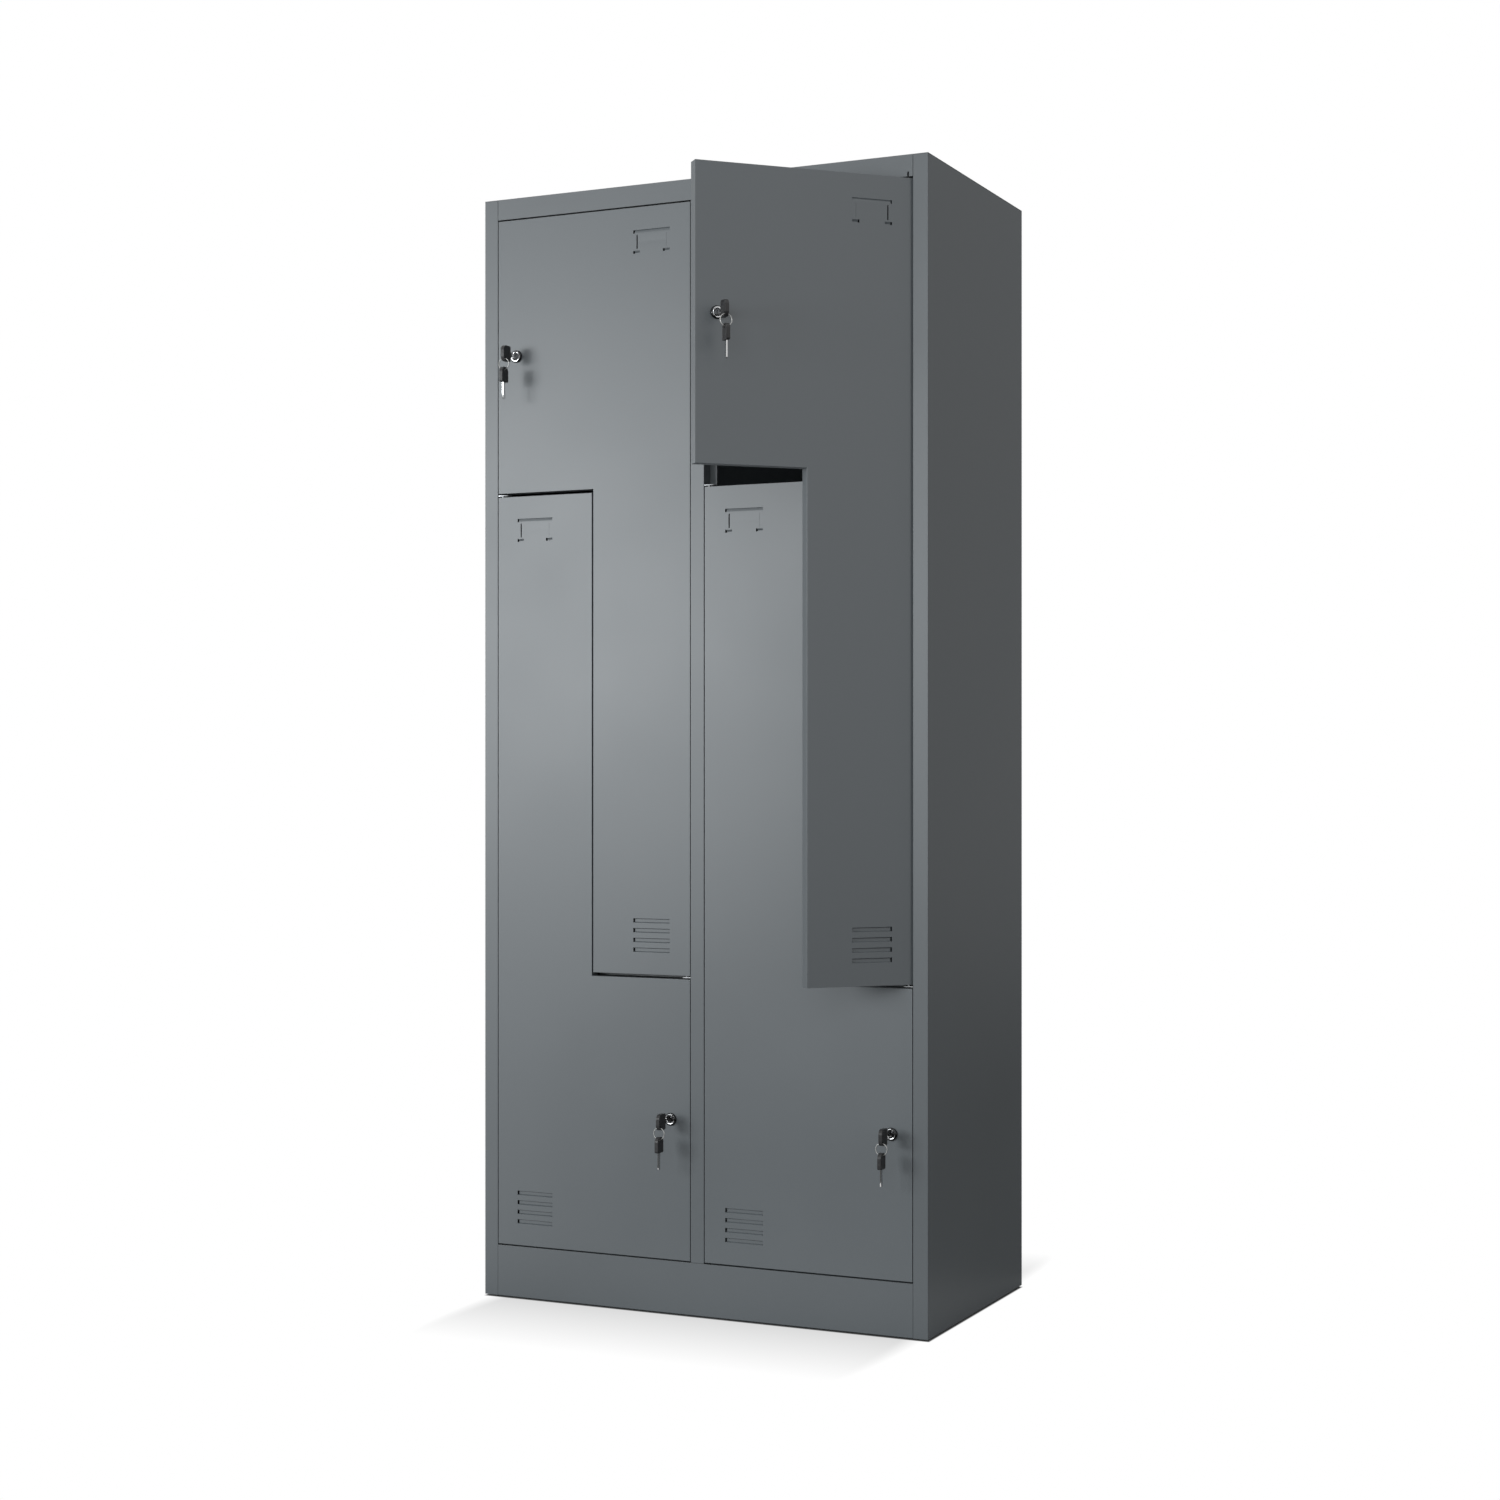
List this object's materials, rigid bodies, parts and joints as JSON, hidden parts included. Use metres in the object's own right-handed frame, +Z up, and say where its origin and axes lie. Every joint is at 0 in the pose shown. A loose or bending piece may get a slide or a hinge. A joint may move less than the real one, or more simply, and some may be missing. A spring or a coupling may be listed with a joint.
{
  "type": "multi-purpose metal cabinet",
  "caption": "Free-standing sheet-steel locker cabinet with L-shaped pan doors, pressed louvres, card holders, cam locks and hanging keys.",
  "frame": {"origin": "floor level, under the middle of the bounding box of the cabinet with its upper right door open as in the picture", "axes": "+Z up, the doors face -Y, +X to the right as seen from the front"},
  "size_m": [0.8, 0.7131, 1.85],
  "materials": {
    "case_paint": "satin grey powder coat",
    "door_paint": "satin grey powder coat",
    "chrome": "bright chrome plate",
    "zinc": "zinc plate",
    "ring_steel": "bright spring steel",
    "key_plastic": "black moulded key head",
    "foot_rubber": "black rubber"
  },
  "bodies": {
    "case": {"side_panel_left": "case_paint", "side_panel_right": "case_paint", "front_stile_left": "case_paint", "front_stile_right": "case_paint", "top_panel": "case_paint", "plinth": "case_paint", "centre_post": "case_paint", "back_panel": "case_paint", "bottom_panel": "case_paint", "centre_partition": "case_paint", "upper_shelf_left": "case_paint", "lower_shelf_left": "case_paint", "upright_divider_left": "case_paint", "hanging_rail_upper_left": "zinc", "hanging_rail_lower_left": "zinc", "upper_shelf_right": "case_paint", "lower_shelf_right": "case_paint", "upright_divider_right": "case_paint", "hanging_rail_upper_right": "zinc", "hanging_rail_lower_right": "zinc", "levelling_foot_front_left": "foot_rubber", "levelling_foot_front_right": "foot_rubber", "levelling_foot_rear_left": "foot_rubber", "levelling_foot_rear_right": "foot_rubber", "hinge_plate_upper_left": "zinc", "hinge_plate_upper_right": "zinc", "hinge_plate_lower_left": "zinc", "hinge_plate_lower_right": "zinc", "step_hinge_bracket_upper_left": "zinc", "step_hinge_bracket_upper_right": "zinc", "step_hinge_bracket_lower_left": "zinc", "step_hinge_bracket_lower_right": "zinc"},
    "door_upper_left": {"door_upper_left": "door_paint", "stiffener_upper_left": "case_paint", "lock_housing_upper_left": "chrome"},
    "lock_upper_left": {"lock_plug_upper_left": "zinc", "key_upper_left": "key_plastic"},
    "ring_upper_left": {"key_ring_upper_left": "ring_steel"},
    "spare_upper_left": {"spare_key_upper_left": "key_plastic"},
    "door_upper_right": {"door_upper_right": "door_paint", "stiffener_upper_right": "case_paint", "lock_housing_upper_right": "chrome"},
    "lock_upper_right": {"lock_plug_upper_right": "zinc", "key_upper_right": "key_plastic"},
    "ring_upper_right": {"key_ring_upper_right": "ring_steel"},
    "spare_upper_right": {"spare_key_upper_right": "key_plastic"},
    "door_lower_left": {"door_lower_left": "door_paint", "stiffener_lower_left": "case_paint", "lock_housing_lower_left": "chrome"},
    "lock_lower_left": {"lock_plug_lower_left": "zinc", "key_lower_left": "key_plastic"},
    "ring_lower_left": {"key_ring_lower_left": "ring_steel"},
    "spare_lower_left": {"spare_key_lower_left": "key_plastic"},
    "door_lower_right": {"door_lower_right": "door_paint", "stiffener_lower_right": "case_paint", "lock_housing_lower_right": "chrome"},
    "lock_lower_right": {"lock_plug_lower_right": "zinc", "key_lower_right": "key_plastic"},
    "ring_lower_right": {"key_ring_lower_right": "ring_steel"},
    "spare_lower_right": {"spare_key_lower_right": "key_plastic"}
  },
  "joints": [
    {"name": "upper_left_door_swing", "type": "hinge", "parent": "case", "child": "door_upper_left", "pos_m": [-0.02025, -0.09, 1.1835], "axis": [0, 0, 1], "range_deg": [0, 95]},
    {"name": "upper_left_lock_turn", "type": "hinge", "parent": "door_upper_left", "child": "lock_upper_left", "pos_m": [-0.33875, -0.0935, 1.5835], "axis": [0, -1, 0], "range_deg": [0, 90]},
    {"name": "upper_left_ring_swing", "type": "hinge", "parent": "lock_upper_left", "child": "ring_upper_left", "pos_m": [-0.33875, -0.1355, 1.5747], "axis": [1, 0, 0], "range_deg": [-15, 15]},
    {"name": "upper_left_spare_key_swing", "type": "hinge", "parent": "ring_upper_left", "child": "spare_upper_left", "pos_m": [-0.33875, -0.1355, 1.5559], "axis": [1, 0, 0], "range_deg": [-15, 15]},
    {"name": "upper_right_door_swing", "type": "hinge", "parent": "case", "child": "door_upper_right", "pos_m": [0.36675, -0.09, 1.1835], "axis": [0, 0, 1], "range_deg": [-45, 65]},
    {"name": "upper_right_lock_turn", "type": "hinge", "parent": "door_upper_right", "child": "lock_upper_right", "pos_m": [0.14401, -0.31769, 1.5835], "axis": [0.7071, -0.7071, 0], "range_deg": [0, 90]},
    {"name": "upper_right_ring_swing", "type": "hinge", "parent": "lock_upper_right", "child": "ring_upper_right", "pos_m": [0.17371, -0.34739, 1.5747], "axis": [0.7071, 0.7071, 0], "range_deg": [-15, 15]},
    {"name": "upper_right_spare_key_swing", "type": "hinge", "parent": "ring_upper_right", "child": "spare_upper_right", "pos_m": [0.17371, -0.34739, 1.5559], "axis": [0.7071, 0.7071, 0], "range_deg": [-15, 15]},
    {"name": "lower_left_door_swing", "type": "hinge", "parent": "case", "child": "door_lower_left", "pos_m": [-0.36675, -0.09, 0.71925], "axis": [0, 0, -1], "range_deg": [0, 110]},
    {"name": "lower_left_lock_turn", "type": "hinge", "parent": "door_lower_left", "child": "lock_lower_left", "pos_m": [-0.04825, -0.0935, 0.31925], "axis": [0, 1, 0], "range_deg": [0, 90]},
    {"name": "lower_left_ring_swing", "type": "hinge", "parent": "lock_lower_left", "child": "ring_lower_left", "pos_m": [-0.04825, -0.1355, 0.31045], "axis": [1, 0, 0], "range_deg": [-15, 15]},
    {"name": "lower_left_spare_key_swing", "type": "hinge", "parent": "ring_lower_left", "child": "spare_lower_left", "pos_m": [-0.04825, -0.1355, 0.29165], "axis": [1, 0, 0], "range_deg": [-15, 15]},
    {"name": "lower_right_door_swing", "type": "hinge", "parent": "case", "child": "door_lower_right", "pos_m": [0.02025, -0.09, 0.71925], "axis": [0, 0, -1], "range_deg": [0, 95]},
    {"name": "lower_right_lock_turn", "type": "hinge", "parent": "door_lower_right", "child": "lock_lower_right", "pos_m": [0.33875, -0.0935, 0.31925], "axis": [0, 1, 0], "range_deg": [0, 90]},
    {"name": "lower_right_ring_swing", "type": "hinge", "parent": "lock_lower_right", "child": "ring_lower_right", "pos_m": [0.33875, -0.1355, 0.31045], "axis": [1, 0, 0], "range_deg": [-15, 15]},
    {"name": "lower_right_spare_key_swing", "type": "hinge", "parent": "ring_lower_right", "child": "spare_lower_right", "pos_m": [0.33875, -0.1355, 0.29165], "axis": [1, 0, 0], "range_deg": [-15, 15]}
  ]
}
